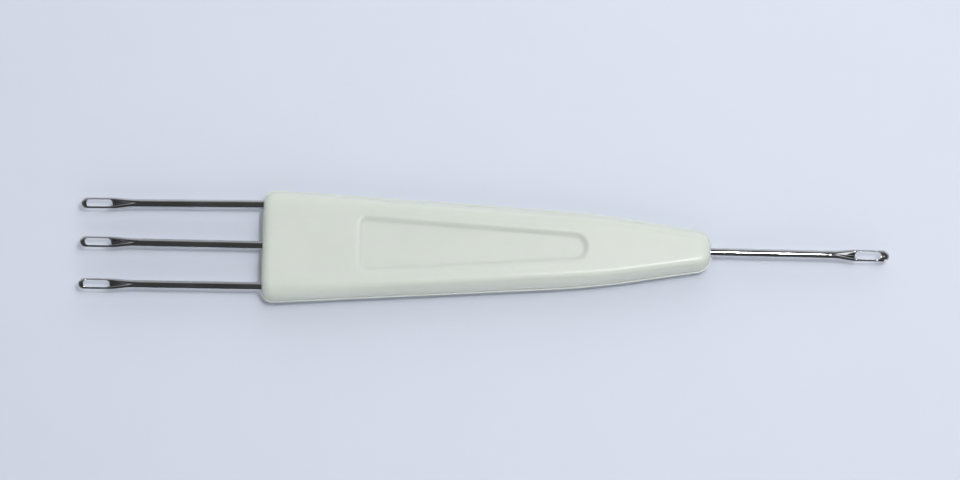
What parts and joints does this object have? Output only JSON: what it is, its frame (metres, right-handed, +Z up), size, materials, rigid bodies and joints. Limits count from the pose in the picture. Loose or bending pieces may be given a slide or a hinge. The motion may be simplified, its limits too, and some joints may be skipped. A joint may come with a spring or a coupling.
{
  "type": "knitting machine transfer tool",
  "caption": "Double-ended transfer tool for a knitting machine: a flat tapered plastic handle with a row of eyelet prongs in the wide end and a lone eyelet prong in the nose.",
  "frame": {"origin": "bottom centre of the whole tool, on the face that it lies on", "axes": "+X along the tool towards the single prong, +Y across it in the plane of the prongs, +Z up out of the upper face, on the grooved side of the eyes"},
  "size_m": [0.126, 0.0178, 0.0051],
  "materials": {
    "handle_plastic": "satin moulded plastic, pale greenish ivory",
    "prong_steel": "polished nickel-plated steel wire"
  },
  "bodies": {
    "root": {"handle_upper_half": "handle_plastic", "handle_lower_half": "handle_plastic", "triple_prong_upper": "prong_steel", "triple_prong_middle": "prong_steel", "triple_prong_lower": "prong_steel", "single_prong": "prong_steel"}
  },
  "joints": []
}
